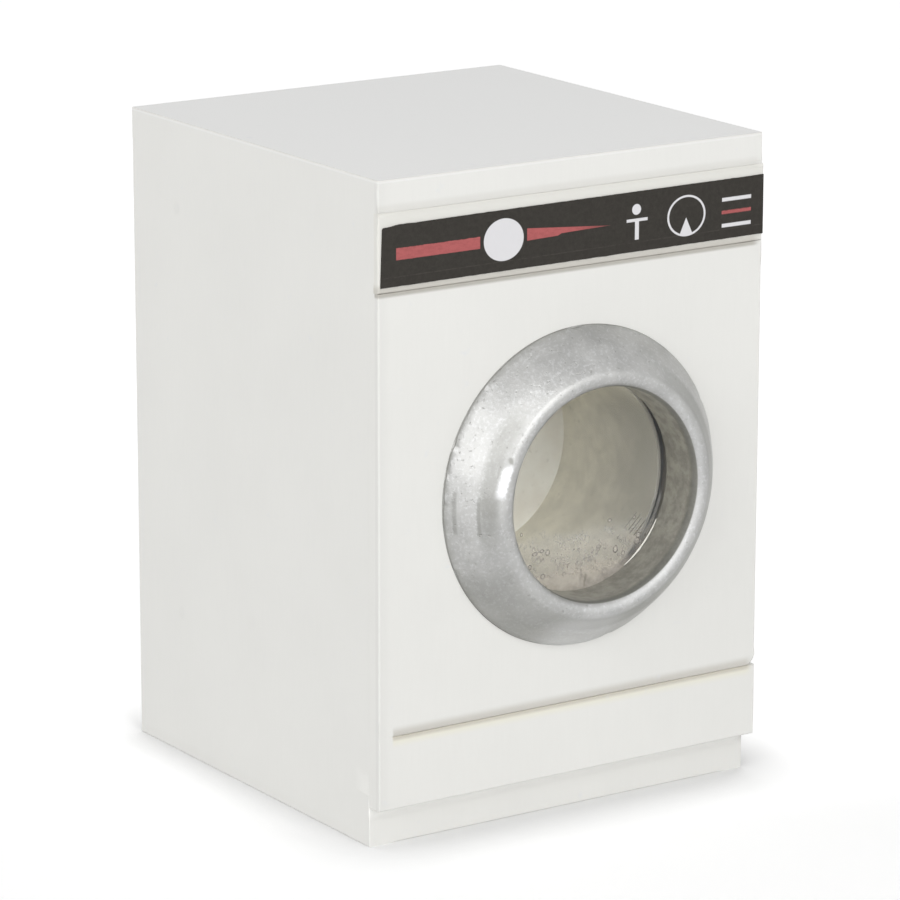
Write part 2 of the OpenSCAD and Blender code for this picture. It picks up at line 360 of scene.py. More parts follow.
class Finish(Build):
    """A material with one Principled shader. Fixed numbers go straight to the shader's sockets.

    place is the place on the piece in millimetres, and colour is what has been mixed so far.
    """

    def __init__(self, name, **fixed):
        self.material = bpy.data.materials.new(name)
        self.material.use_nodes = True
        super().__init__(self.material.node_tree)
        self.tree.nodes.clear()
        self.shader = self.tree.nodes.new("ShaderNodeBsdfPrincipled")
        self.output = self.tree.nodes.new("ShaderNodeOutputMaterial")
        self.tree.links.new(self.shader.outputs[0], self.output.inputs["Surface"])
        for name, value in fixed.items():
            self.shader.inputs[name.replace("_", " ")].default_value = value
        self.place = self.vector("SCALE", self.node("ShaderNodeTexCoord").other("Object"), 1 / MM)
        self.colour = None

    def lay(self, share, tint):
        """Lays a colour over the present one where share is above 0."""
        self.colour = self.mix(share, self.colour, tint)

    def about_port(self):
        """The place, across and up from the porthole axis, and the distance from it."""
        x, y, z = self.split(self.place)
        dx, dz = x - PORT_X, z - PORT_Z
        return dx, y, dz, self.reach(dx, dz)

    def surface(self, roughness=None, height_mm=None, **others):
        """Gives the shader its colour, roughness and relief in millimetres."""
        links = {"Base Color": self.colour, "Roughness": roughness, **others}
        if height_mm is not None:
            bump = {"Strength": 1.0, "Distance": MM, "Height": height_mm}
            links["Normal"] = self.node("ShaderNodeBump", None, bump)
        for name, value in links.items():
            self.feed(self.shader.inputs[name], value)
        return self.material


class Shape(Build):
    """A geometry node tree with named inputs, which makes a plain mesh."""

    MESH = "NodeSocketGeometry"
    FLOAT = "NodeSocketFloat"
    INT = "NodeSocketInt"

    def __init__(self, name, **inputs):
        tree = bpy.data.node_groups.new(name, "GeometryNodeTree")
        sockets = [("Geometry", "OUTPUT", self.MESH), ("Surface", "INPUT", self.MESH)]
        sockets += [(label.replace("_", " "), "INPUT", kind) for label, kind in inputs.items()]
        for label, side, kind in sockets:
            tree.interface.new_socket(name=label, in_out=side, socket_type=kind)
        super().__init__(tree)
        self.inputs = self.node("NodeGroupInput")

    def given(self, name):
        """The value of a named input."""
        return self.inputs.other(name)

    def geometry(self, kind, settings=None, **sockets):
        """Adds a geometry node. Underscores stand for the spaces in its sockets' names."""
        named = {name.replace("_", " "): value for name, value in sockets.items()}
        return self.node("GeometryNode" + kind, settings, named)

    def matches(self, value, number):
        """1 where value is this whole number."""
        return abs(value - number) < 0.5

    def end(self, geometry, material):
        """Realizes instances, gives the result its material and closes the tree."""
        real = self.geometry("RealizeInstances", Geometry=geometry)
        done = self.geometry("SetMaterial", Geometry=real, Material=material)
        self.node("NodeGroupOutput", None, {0: done})

    def make(self, name, surface=None, **values):
        """Runs the tree on a surface mesh, or on nothing, and returns the plain mesh object."""
        obj = link_object(name, surface or bpy.data.meshes.new(name))
        modifier = obj.modifiers.new("shape", "NODES")
        modifier.node_group = self.tree
        for item in self.tree.interface.items_tree:
            key = item.name.replace(" ", "_")
            if item.in_out == "INPUT" and key in values:
                modifier[item.identifier] = values[key]
        return smooth(settle(obj))


# ---- meshes ----


def link_object(name, mesh):
    obj = bpy.data.objects.new(name, mesh)
    bpy.context.scene.collection.objects.link(obj)
    return obj


def settle(obj):
    """Turns an object with modifiers into a plain mesh."""
    graph = bpy.context.evaluated_depsgraph_get()
    graph.update()
    plain = bpy.data.meshes.new_from_object(obj.evaluated_get(graph))
    plain.name = obj.name
    obj.modifiers.clear()
    obj.data = plain
    return obj


def smooth(obj, flat_faces=False):
    """Smooth shading with sharp corners. flat_faces keeps broad faces flat up to their rounds."""
    obj.data.shade_smooth()
    obj.data.set_sharp_from_angle(angle=math.radians(SHARP_DEGREES))
    if flat_faces:
        weighted = obj.modifiers.new("flat faces", "WEIGHTED_NORMAL")
        weighted.keep_sharp = True
        weighted.weight = 100
        settle(obj)
    return obj


def mesh_from(bm, name):
    mesh = bpy.data.meshes.new(name)
    bm.to_mesh(mesh)
    bm.free()
    return mesh


def scaled(bm):
    """Turns millimetres into metres."""
    bmesh.ops.scale(bm, vec=(MM, MM, MM), verts=bm.verts)


def bridge(bm, one, two, closed=True):
    """Joins two rows of points by faces, all the way round when they are closed."""
    for i in range(len(one) if closed else len(one) - 1):
        j = (i + 1) % len(one)
        bm.faces.new((one[i], one[j], two[j], two[i]))


def finished(bm, name):
    """Turns a mesh in millimetres into an object, with its faces facing outwards."""
    bmesh.ops.recalc_face_normals(bm, faces=bm.faces)
    scaled(bm)
    return link_object(name, mesh_from(bm, name))


def ease(obj, radii, adjust=None):
    """Rounds edges. radii maps edge index to radius in metres; adjust moves points afterwards."""
    largest = max(radii.values())
    weights = obj.data.attributes.new("bevel_weight_edge", "FLOAT", "EDGE")
    for index, radius in radii.items():
        weights.data[index].value = radius / largest
    bevel = obj.modifiers.new("ease", "BEVEL")
    bevel.limit_method = "WEIGHT"
    bevel.width = largest
    bevel.segments = 6
    bevel.use_clamp_overlap = False
    settle(obj)
    if adjust is not None:
        for vert in obj.data.vertices:
            vert.co = adjust(vert.co)
    return smooth(obj, flat_faces=True)


def board(name, low, high, radius_at, adjust=None, cell=3.0):
    """A board with its long edges cut into short lengths, each rounded by what radius_at gives.

    radius_at takes the set of the two sides that meet, such as {"-x", "-y"}, and the middle of the
    length in millimetres, and returns a radius in millimetres.
    """
    bm = bmesh.new()
    bmesh.ops.create_cube(bm, size=1.0)
    middle, size = (low + high) / 2, high - low
    for vert in bm.verts:
        vert.co = Vector(middle[i] + vert.co[i] * size[i] for i in range(3))
    for axis in range(3):
        cuts = int(size[axis] / cell)
        if cuts:
            along = [
                e for e in bm.edges
                if abs((e.verts[0].co - e.verts[1].co)[axis]) > size[axis] * 0.99
            ]
            bmesh.ops.subdivide_edges(bm, edges=along, cuts=cuts, use_grid_fill=True)
    bm.edges.ensure_lookup_table()
    radii = {}
    for edge in bm.edges:
        sides = sides_of(edge, low, high)
        if len(sides) == 2:
            at = (edge.verts[0].co + edge.verts[1].co) / 2
            radius = radius_at(sides, at)
            if radius > 0:
                radii[edge.index] = radius * wander(at, 0.35) * MM
    scaled(bm)
    bm.normal_update()
    return ease(link_object(name, mesh_from(bm, name)), radii, adjust)


def wander(at, share):
    """About 1, changing slowly from place to place by up to share."""
    return 1.0 + share * noise.noise(at * 0.21)


def sides_of(edge, low, high):
    """The sides of a box that an edge lies on."""
    found = set()
    for axis, letter in enumerate("xyz"):
        if all(abs(v.co[axis] - low[axis]) < 1e-4 for v in edge.verts):
            found.add("-" + letter)
        if all(abs(v.co[axis] - high[axis]) < 1e-4 for v in edge.verts):
            found.add("+" + letter)
    return found


def at_port(reach, angle, depth):
    """A place in millimetres by its distance and angle about the porthole axis, and its depth."""
    return PORT_X + reach * math.cos(angle), depth, PORT_Z + reach * math.sin(angle)


def turned(name, profile, segments=128):
    """A solid turned about the porthole axis from (radius, depth) points, in millimetres.

    The first point and the last are on the axis.
    """
    bm = bmesh.new()
    loops = []
    for radius, depth in profile:
        angles = (2 * math.pi * i / segments for i in range(segments if radius else 1))
        loops.append([bm.verts.new(at_port(radius, a, depth)) for a in angles])
    for one, two in zip(loops, loops[1:]):
        for i in range(segments):
            j = (i + 1) % segments
            corners = (one[i % len(one)], one[j % len(one)], two[j % len(two)], two[i % len(two)])
            bm.faces.new(dict.fromkeys(corners))
    return smooth(finished(bm, name))


def dress(obj, material, body, slot, *nodes):
    """Gives a finished piece its material and body and hides the CAD nodes that it stands for; slot
    is not used.
    """
    if material is not None:
        obj.data.materials.clear()
        obj.data.materials.append(material)
    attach(obj, body)
    if nodes:
        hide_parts(*nodes)


def coat(node, material):
    """Puts a material on a CAD node that keeps its own shape."""
    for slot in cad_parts[node].material_slots:
        slot.material = material


# ---- finishes ----


def paint(part, colours, *patches, nails=False):
    """Brushed satin enamel over wood. patches pair functions of x, y and z with other tints."""
    f = Finish("white enamel, " + part, Specular_IOR_Level=0.35)
    x, y, z = f.split(f.place)
    broad = f.noise(f.place, 0.09, 2.0)
    brush = f.noise(f.join(x, y, z * 0.1), 2.4, 3.0, 0.6)
    fine = f.noise(f.place, 3.6, 2.0, 0.6)
    tone = (broad - 0.5) * 0.49 + (brush - 0.5) * 0.28 + 0.5
    worn, lit = tinted(colours.paint, 0.93), tinted(colours.paint, 1.03)
    f.colour = f.mix(tone.clamp(), worn, lit)
    # painted shade: the front darkens towards its free left edge, which damps the highlight on that
    # edge
    shaded_free_edge = x.ramp(BODY_LOW.x + 1.6, BODY_LOW.x + 0.2)
    shaded_free_edge = shaded_free_edge * y.ramp(BODY_LOW.y + 0.8, BODY_LOW.y + 0.6)
    f.lay(shaded_free_edge * 0.8, worn)
    for mask, other in patches:
        f.lay(mask(x, y, z), other)
    smudge = f.noise(f.place, 0.42, 3.0, 0.6, offset=(17.0, 3.0, 5.0)).ramp(0.66, 0.82)
    f.lay(smudge * 0.35, colours.paint_smudge)
    height = brush * 0.006 + fine * 0.004 + broad * 0.03
    if nails:
        nail_y = (NAIL_LOW.y + NAIL_HIGH.y) / 2
        spots = None
        for nail_z in (NAIL_LOW.z + NAIL_HEAD, NAIL_HIGH.z - NAIL_HEAD):
            spot = f.reach(y - nail_y, z - nail_z).ramp(NAIL_HEAD * 1.5, NAIL_HEAD * 0.6)
            spots = spot if spots is None else spots + spot
        f.lay(spots * 0.5, worn)
        height = height - spots * 0.03
    roughness = (fine - 0.5) * 0.12 + smudge * 0.1 + 0.46
    return f.surface(roughness, height)


def front_band(at, reach, share, start=None, depth=0.8):
    """Marks a part of the front's paint within reach of one height, from start to the right."""

    def mask(x, y, z):
        band = abs(z - at).ramp(reach, reach * 0.25) * share
        band = band * y.ramp(BODY_LOW.y + depth + 0.2, BODY_LOW.y + depth)
        band = band * x.ramp(BODY_HIGH.x, BODY_HIGH.x - BAND_FADE)
        return band if start is None else band * x.ramp(start - 0.1, start + 0.2)

    return mask


def cast_metal(colours, sizes):
    """Satin cast metal, grainy and pitted outside and rough in the bore, with painted light and
    shade.
    """
    f = Finish("cast metal", Metallic=1.0)
    dx, y, dz, radius = f.about_port()
    rise = FRONT_Y - y
    bore = sizes.ring_bore / MM
    inside = (radius - dx * 0.012).ramp(bore + 0.33, bore + 0.21)
    grain = f.noise(f.place, 2.6, 4.0, 0.7)
    cloud = f.noise(f.place, 0.26, 3.0, 0.6)
    pits = f.noise(f.place, 1.9, 3.0, 0.7, offset=(3.0, 7.0, 1.0)).ramp(0.60, 0.74)
    f.colour = f.mix(cloud.ramp(0.3, 0.7), tinted(colours.metal, 0.84), colours.metal)
    f.lay(pits * 0.5, colours.metal_oxide_and_shade)
    f.lay((grain - 0.5).clamp() * 1.5, colours.metal_worn_and_highlight)
    # painted reflections: two dark streaks across the free side's slope; a painted highlight on its
    # crown
    ragged = (grain - 0.5) * 0.5
    for reach, top in ((17.08, 2.2), (15.43, 1.4)):
        mark = abs(radius - reach + ragged * 0.5).ramp(0.22, 0.05)
        mark = mark * (dz + ragged * 3.0).inside(-2.7, top, 1.0) * (dx < 0.0)
        f.lay(mark * 0.5, colours.metal_oxide_and_shade)
    # painted shade: a darker patch on the shoulder of the free side
    smudge = (radius + ragged * 2.0).inside(13.9, 15.2, 0.5) * (dz + ragged).inside(-0.5, 1.8, 0.9)
    f.lay(smudge * (dx < 0.0) * 0.3, colours.metal_oxide_and_shade)
    chip = f.reach(dx + 12.45, (dz - 5.6) * 0.6)
    f.lay(chip.ramp(0.34, 0.1) * 0.7, colours.metal_oxide_and_shade)
    # painted highlight: a bright spot on the crown in place of a blown highlight
    slanted = radius + ragged + dz * 0.09
    crown_glint = slanted.inside(13.6, 14.4, 0.5) * (dz + ragged).inside(1.7, 4.9, 0.9)
    crown_glint = crown_glint * (dx < 0.0)
    f.lay(crown_glint, colours.metal_worn_and_highlight)
    # painted shade where the ring's foot meets the door
    foot = rise.ramp(0.35, 0.1) * (1.0 - inside)
    # painted shade: the shoulder is darker on the free side, and the lower left is darker below it
    shoulder = (abs(dz - 6.0) * -0.7 - dx).ramp(5.5, 9.5)
    shoulder = shoulder * (radius + ragged).inside(14.0, 15.4, 0.8)
    lower_left_shade = (radius * -0.9 - dx * 0.64 - dz * 0.77).ramp(-0.4, 1.0) * radius.ramp(13.4, 14.4)
    f.lay(shoulder * 0.42 + lower_left_shade * 0.33, colours.metal_oxide_and_shade)
    # painted shade darkens the crown outside away from the free side; painted highlights brighten
    # its lip
    away = (dx * 0.9 - dz * 0.5 + cloud * 4.0).ramp(-1.0, 9.0)
    crown_shade = away * (radius + ragged).inside(13.6, 15.4, 0.7) * 0.5
    f.lay((foot * 0.6 + crown_shade).clamp(), colours.metal_oxide_and_shade)
    # painted highlights on the lip and along the bottom of the crown
    rubbed = (radius + ragged * 0.6).inside(12.1, 12.9, 0.6) * away * 0.12
    rubbed = rubbed + dz.ramp(-12.4, -14.4) * (dx + ragged).inside(-6.0, 2.5, 4.0) * 0.28
    f.lay(rubbed, colours.metal_worn_and_highlight)
    rough = f.noise(f.place, 0.8, 3.0, 0.6, offset=(1.0, 2.0, 3.0)).ramp(0.3, 0.7)
    bore_colour = f.mix(rough, tinted(colours.metal_bore, 0.82), tinted(colours.metal_bore, 1.1))
    # painted shade in the bore: darker just behind the lip and along the bottom
    tarnish = rise.ramp(3.9, 4.8) * 0.8 + dz.ramp(-4.0, -11.0) * 0.22
    bore_colour = f.mix(tarnish.clamp(), bore_colour, colours.metal_oxide_and_shade)
    f.lay(inside, bore_colour)
    roughness = inside * 0.2 + (cloud - 0.5) * 0.22 + (grain - 0.5) * 0.3 - crown_glint * 0.15 + 0.42
    roughness = roughness + radius.ramp(14.4, 13.4) * (away * 0.1 + 0.1)
    height = grain * 0.03 + pits * -0.03 + inside * grain * 0.01
    return f.surface(roughness, height)


def lining(name, tint, scale=1.0):
    """Painted card or board: mottled, small specks, painted light at the top, darker by the mouth
    on the hinge side.
    """
    f = Finish(name, Specular_IOR_Level=0.25)
    x, y, z = f.split(f.place)
    mottle = f.noise(f.place, 0.35 * scale, 3.0, 0.6)
    speck = f.noise(f.place, 2.2 * scale, 2.0, 0.5, offset=(2.0, 8.0, 4.0)).ramp(0.64, 0.74)
    f.colour = f.mix(mottle.ramp(0.25, 0.75), tinted(tint, 0.90), tinted(tint, 1.08))
    dx, dz = x - PORT_X, z - PORT_Z
    # painted light: the lining is lighter towards the top
    f.lay(dz.ramp(3.0, 10.0), tinted(tint, 1.22))
    # darker towards the drum's mouth, most on the door's hinge side
    hinge_side = (dx * 0.9 - abs(dz - 1.0) * 0.4).ramp(1.5, 8.5)
    grime = (y + mottle * 6.0).ramp(-6.0, -19.0) * (hinge_side * 0.8 + 0.22)
    f.lay((speck * 0.4 + grime).clamp(), tinted(tint, 0.56))
    return f.surface(mottle * 0.3 + 0.5, mottle * 0.03)


def bare_wood(colours):
    """Sanded softwood with its grain upright."""
    f = Finish("bare wood", Specular_IOR_Level=0.25)
    x, y, z = f.split(f.place)
    warp = f.noise(f.join(x, y, z * 0.3), 0.06, 2.0) * 6.0
    rings = f.noise(f.join(x + warp, y, z * 0.04), 0.9, 4.0, 0.65)
    fibre = f.noise(f.join(x, y, z * 0.05), 6.0, 2.0, 0.6)
    f.colour = f.mix(rings.ramp(0.35, 0.72) * 0.75, colours.raw_wood, colours.raw_wood_dark)
    f.lay((fibre - 0.4) * 0.5, tinted(colours.raw_wood_dark, 0.7))
    return f.surface(fibre * 0.2 + 0.58, fibre * 0.02 + rings * 0.02)


def brushed_steel(colours):
    """Drawn steel wire with a little tarnish."""
    f = Finish("drawn steel", Metallic=1.0)
    x, y, z = f.split(f.place)
    drawn = f.noise(f.join(x * 6.0, y * 6.0, z * 0.3), 2.0, 2.0)
    tarnish = f.noise(f.place, 1.6, 3.0, 0.6).ramp(0.45, 0.75)
    f.colour = f.mix(tarnish * 0.6, colours.steel, tinted(colours.steel, 0.45))
    return f.surface(tarnish * 0.25 + 0.28, drawn * 0.006)


def clear_pane(colours):
    """Clear plastic, a little hazy, with pale patchy glue over its lower part, partly painted
    light, and fine scratches.
    """
    f = Finish("clear pane", Specular_IOR_Level=0.5, IOR=1.49)
    x, y, z = f.split(f.place)
    dx, _, dz, radius = f.about_port()
    smear = f.noise(f.join(x, y, z * 1.4), 0.55, 4.0, 0.65)
    # dried glue over the lower part, whose pale film also paints light there
    low = (dz + smear * 4.0).ramp(-2.4, -5.0)
    film = (smear.ramp(0.34, 0.66) * 0.16 + dz.ramp(-8.6, -10.6) * 0.22 + 0.08) * low
    # outlined bubbles and small dark specks in the glue
    bubble = f.noise(f.join(x, 0.0, z * 0.8), 0.95, 1.0, 0.5, offset=(6.0, 1.0, 2.0))
    speck = abs(bubble - 0.64).ramp(0.03, 0.012)
    fleck = f.noise(f.join(x, 0.0, z * 0.7), 1.7, 1.0, 0.5, offset=(1.0, 5.0, 9.0))
    speck = (speck * 0.8 + fleck.ramp(0.68, 0.72)).clamp() * low
    # two scratches that run beside the rim
    along = dx * 0.72 + dz * 0.69
    across = dz * 0.72 - dx * 0.69
    scratch = abs(across + 9.95).ramp(0.1, 0.03) + abs(across + 8.95).ramp(0.08, 0.02)
    scratch = scratch.clamp() * along.inside(0.6, 2.9, 0.3)
    rim = radius.inside(11.05, 11.35, 0.15) * (dx - 8.5).ramp(0.0, 0.6) * dz.ramp(-2.0, -4.0)
    dark = (speck * 0.7 + scratch + rim * 0.75).clamp()
    f.colour = f.mix(film * 4.0, colours.pane, colours.glue)
    f.lay(dark, colours.glue_rim)
    alpha = (film + dark * 0.7 + 0.05).clamp()
    return f.surface(smear * 0.1 + 0.06, smear * 0.001, Alpha=alpha)


def glue_bubble(colours):
    """A bead of dried glue: clear in the middle and dark at its rim."""
    f = Finish("glue bubble", Specular_IOR_Level=0.6)
    rim = f.node("ShaderNodeAttribute", {"attribute_name": "rim"}).other("Fac")
    dark = rim.ramp(0.15, 0.4)
    f.colour = f.mix(dark, tinted(colours.glue, 1.2), colours.glue_rim)
    return f.surface(0.2, Alpha=dark * 0.6 + 0.2)


def set_glue(colours):
    """The shiny, near-white bead of glue that runs along the pane's rim, partly a painted
    highlight.
    """
    f = Finish("set glue", Specular_IOR_Level=0.8)
    cloudy = f.noise(f.place, 1.4, 3.0, 0.6)
    f.colour = f.mix(cloudy, colours.glue_cloudy, colours.glue_bead_highlight)
    return f.surface(cloudy * 0.2 + 0.1)


def printed_strip(colours):
    """Black printed paper with generic white and red control marks."""
    f = Finish("printed strip", Specular_IOR_Level=0.08)
    x, _, z = f.split(f.place)
    x, z = x - PRINT_SLIP[0], z - PRINT_SLIP[1]
    fibre = f.noise(f.place, 2.2, 4.0, 0.7)
    dry = f.noise(f.join(x, 0.0, z * 2.0), 1.6, 4.0, 0.7, offset=(4.0, 4.0, 0.0))
    faded = tinted(colours.print_black, 1.55)
    black = f.mix((fibre - 0.35) * 1.5, colours.print_black, faded)
    crease = abs(z - 62.95 - x * 0.004).ramp(0.1, 0.03) * dry.ramp(0.35, 0.6)
    black = f.mix(crease * 0.22, black, tinted(colours.print_black, 3.0))

    def inked(depth):
        """Ink where a place is inside a mark, by the depth from the mark's edge."""
        return depth.ramp(-PRINT_EDGE / 2, PRINT_EDGE / 2)

    def bar(left, right, low, high, height=z, softer=1.0):
        return x.inside(left, right, PRINT_EDGE) * height.inside(low, high, PRINT_EDGE * softer)

    ragged = (dry - 0.5) * 0.16
    # the tail is a bar that narrows to a point and fades
    along = x - TAIL_ENDS[0]
    upper = TAIL_EDGES[1] - along * 0.085
    lower = along * 0.02 + (x + 2.0 + ragged * 3.0).ramp(-0.3, 0.3) * 0.2 + TAIL_EDGES[0]
    tail = inked(upper - z) * inked(z + ragged * 0.5 - lower)
    tail = tail * x.inside(*TAIL_ENDS, PRINT_EDGE) * (1.0 - x.ramp(-1.0, 5.0) * 0.45)
    red = bar(*RED_BAR, z + ragged) + tail + bar(*RED_DASH, z + ragged, softer=2.0)
    red = red.clamp()

    disc_x, disc_z, disc_radius = DISC
    dot_x, dot_z, dot_radius = SIGN_DOT
    dial_x, dial_z, dial_radius = DIAL
    white = inked(disc_radius - f.reach((x - disc_x) * 0.9, z - disc_z))
    white = white + inked(dot_radius - f.reach(x - dot_x, z - dot_z))
    for sign_bar in SIGN_BARS:
        white = white + bar(*sign_bar)
    for line in WHITE_LINES:
        white = white + bar(*line, softer=1.5)
    # the dial is a ring with a wedge in it
    dial = f.reach(x - dial_x, (z - dial_z) * 1.13)
    white = white + inked(DIAL_LINE - abs(dial - dial_radius))
    wedge = inked((dial_z - 0.2 - z) * 0.47 - abs(x - dial_x + 0.04))
    white = white + wedge * dial.ramp(dial_radius + 0.06, dial_radius - 0.04)
    white = white.clamp()

    worn_red = tinted(colours.print_red, 0.85)
    ink_red = f.mix(dry.ramp(0.35, 0.7), colours.print_red, worn_red)
    ink_white = f.mix((fibre - 0.3) * 0.25, colours.print_white, colours.print_faint)
    f.colour = f.mix(red * (0.86 + fibre * 0.14), black, ink_red)
    f.lay(white, ink_white)
    return f.surface(fibre * 0.2 + 0.5, fibre * 0.006 + crease * 0.01)


# ---- operators, one for each piece or group of like pieces ----


def edge_rules(sizes, filled_x):
    """For each board, what gives the radius of an edge from its two sides and its middle."""
    edge, joint = sizes.edge_radius / MM, sizes.joint_radius / MM
    foot, upright = sizes.foot_radius / MM, sizes.front_edge / MM
    kick_foot = box_mm("kick_board")[0].z

    def worktop(sides, at):
        if sides == {"-y", "-z"}:
            return joint
        if sides == {"+y", "-z"}:
            return foot
        if "+z" in sides:
            return sizes.worktop_radius / MM
        return 0.0 if "-z" in sides else upright if "-y" in sides else edge

    def side(sides, at):
        outer = "-x" if at.x < 0 else "+x"
        if "+y" in sides and "+z" not in sides:
            return edge
        if outer in sides and ("-z" in sides or "-y" in sides and at.z < kick_foot):
            return foot
        return 0.0

    def fascia(sides, at):
        if sides == {"-y", "+z"}:
            return joint
        return upright if "-y" in sides else 0.0

    def kick(sides, at):
        if sides == {"-y", "+z"}:
            return edge * 0.3 if at.x > filled_x else 0.0
        return upright if "-y" in sides else 0.0

    def base(sides, at):
        return foot if "-z" in sides and ("-y" in sides or "+y" in sides) else 0.0

    def back(sides, at):
        return foot

    return {
        "left_side": side, "right_side": side, "worktop": worktop, "fascia_board": fascia,
        "kick_board": kick, "base_board": base, "back_board": back,
    }


def board_finishes(colours, edge, filled_x):
    """For each board, its enamel with the grime of its place, and painted shade and painted light.
    """
    worktop_foot, fascia_foot = box_mm("worktop")[0].z, box_mm("fascia_board")[0].z
    kick_foot, kick_top = (corner.z for corner in box_mm("kick_board"))

    # painted light: the worktop's top face gets the lighter enamel
    def above(x, y, z):
        return z.ramp(BODY_HIGH.z - edge, BODY_HIGH.z - edge * 0.4)

    # painted shade along the worktop's top front and left edges, which damps their highlight
    def shaded_brow(x, y, z):
        near = y.ramp(BODY_LOW.y + 0.3, BODY_LOW.y) + x.ramp(BODY_LOW.x + 0.3, BODY_LOW.x)
        return z.ramp(BODY_HIGH.z - 0.3, BODY_HIGH.z - 0.05) * near.clamp() * 0.3

    def front(x, y, z):
        return y.ramp(BODY_LOW.y + 0.9, BODY_LOW.y + 0.7)

    fascia_tint = tinted(colours.paint, 0.93, 0.925, 0.905)
    cream = tinted(colours.paint, 1.0, 0.985, 0.9)
    # grime and painted shade along the joint under the worktop
    joint_grime_and_shade = (front_band(worktop_foot + 0.25, 0.85, 0.27, depth=0.3), colours.paint_grime_and_shade)
    # painted light on the sides' ends at the plinth, under the kick board
    sides = paint(
        "sides", colours, (front_band(kick_foot, 1.6, 1.0, depth=2.0), colours.paint_lit_plinth),
        nails=True,
    )
    worktop = paint(
        "worktop", colours, (above, colours.paint_top), (shaded_brow, colours.paint_shaded), joint_grime_and_shade
    )
    # grime and painted shade along the fascia's lower edge, over the door's gap
    fascia = paint(
        "fascia", colours, (front, fascia_tint),
        (front_band(fascia_foot, 1.2, 0.9), colours.paint_grime_and_shade), joint_grime_and_shade,
    )
    # painted shade in the slot along the kick board's top
    kick = paint(
        "kick board", colours, (front_band(kick_top, 1.4, 1.0, filled_x), cream),
        (front_band(kick_top, 0.6, 0.9, filled_x, 2.0), colours.paint_shaded),
    )
    # painted light on the plinth under the kick board
    base = paint(
        "base", colours, (front_band(kick_foot, 1.6, 1.0, depth=2.4), colours.paint_lit_plinth)
    )
    return {
        "left_side": sides, "right_side": sides, "worktop": worktop, "fascia_board": fascia,
        "kick_board": kick, "base_board": base, "back_board": base,
    }


class WASHER_OT_boards(Operator):
    """Builds the painted boards of the cabinet"""

    bl_idname = "washer.boards"
    bl_label = "Cabinet Boards"

    def execute(self, context):
        sizes, colours = context.scene.washer_sizes, context.scene.washer_colours
        filled_x = BODY_LOW.x + FILLED_LENGTH
        rules = edge_rules(sizes, filled_x)
        finishes = board_finishes(colours, sizes.edge_radius / MM, filled_x)
        joint_z = box_mm("worktop")[0].z * MM
        near = 2 * sizes.joint_radius

        def shallow(at):
            # the paint fills most of the joint under the worktop
            inset = at.y - BODY_LOW.y * MM
            if abs(at.z - joint_z) < near and 0 < inset < near:
                return Vector((at.x, at.y - inset * JOINT_FILL, at.z))
            return at

        for name, radius_at in rules.items():
            low, high = box_mm(name)
            adjust = shallow if name in ("worktop", "fascia_board") else None
            piece = board("painted_" + name, low, high, radius_at, adjust)
            dress(piece, finishes[name], CABINET, "painted_wood", name)
        return {"FINISHED"}


def door_outline(low, high, worn):
    """The door's outline as (x, z) points, with its lower right corner worn to a round."""
    arc_x, arc_z = high.x - worn, low.z + worn
    corners = [
        (low.x, low.z), (arc_x, low.z), (high.x, arc_z), (high.x, high.z), (low.x, high.z)
    ]
    outline = []
    for (ax, az), (bx, bz) in zip(corners, corners[1:] + corners[:1]):
        worn_off = ax != bx and az != bz
        steps = 9 if worn_off else 72
        for i in range(steps):
            t = i / steps
            if worn_off:
                a = math.radians(-90 + 90 * t)
                outline.append(Vector((arc_x + worn * math.cos(a), arc_z + worn * math.sin(a))))
            else:
                outline.append(Vector((ax + (bx - ax) * t, az + (bz - az) * t)))
    return outline


def pierced_plate(outline, hole, front, back):
    """A plate with a round hole on the porthole axis, and the points of its front outline."""
    bm = bmesh.new()
    centre = Vector((PORT_X, PORT_Z))
    shares = (0.0, 0.15, 0.4, 0.7, 1.0)
    loops = {}
    for depth in (front, back):
        for share in shares:
            loop = []
            for point in outline:
                start = centre + (point - centre).normalized() * hole
                at = start + (point - start) * share
                loop.append(bm.verts.new((at.x, depth, at.y)))
            loops[depth, share] = loop
    for depth in (front, back):
        for near_share, far_share in zip(shares, shares[1:]):
            bridge(bm, loops[depth, near_share], loops[depth, far_share])
    for share in (0.0, 1.0):
        bridge(bm, loops[front, share], loops[back, share])
    bmesh.ops.recalc_face_normals(bm, faces=bm.faces)
    bm.edges.ensure_lookup_table()
    return bm, set(loops[front, 1.0])


def door_radii(bm, rim, sizes, low, high):
    """The radius in metres of each edge of the door that is eased, by the edge's index."""
    upright, worn = sizes.front_edge / MM, sizes.worn_corner / MM
    filled_x = low.x + FILLED_LENGTH
    radii = {}
    for edge in bm.edges:
        sides = sides_of(edge, low, high)
        at = (edge.verts[0].co + edge.verts[1].co) / 2
        if len(sides) == 1 and rim.issuperset(edge.verts):
            share = (at.x - high.x + worn) / worn
            radii[edge.index] = sizes.door_foot * (1 - share) + sizes.front_edge * share
        if len(sides) != 2:
            continue
        radius = upright if "-y" in sides else 0.0
        if sides == {"-y", "+z"}:
            radius = sizes.door_top / MM
        if sides == {"-y", "-z"}:
            radius = sizes.door_foot / MM * share_of(at.x, filled_x + 0.2, filled_x + 0.8)
        if sides == {"+x", "+y"}:
            radius = sizes.hinge_radius / MM
        if radius > 0:
            radii[edge.index] = radius * wander(at, 0.25 if radius <= upright else 0.0) * MM
    return radii


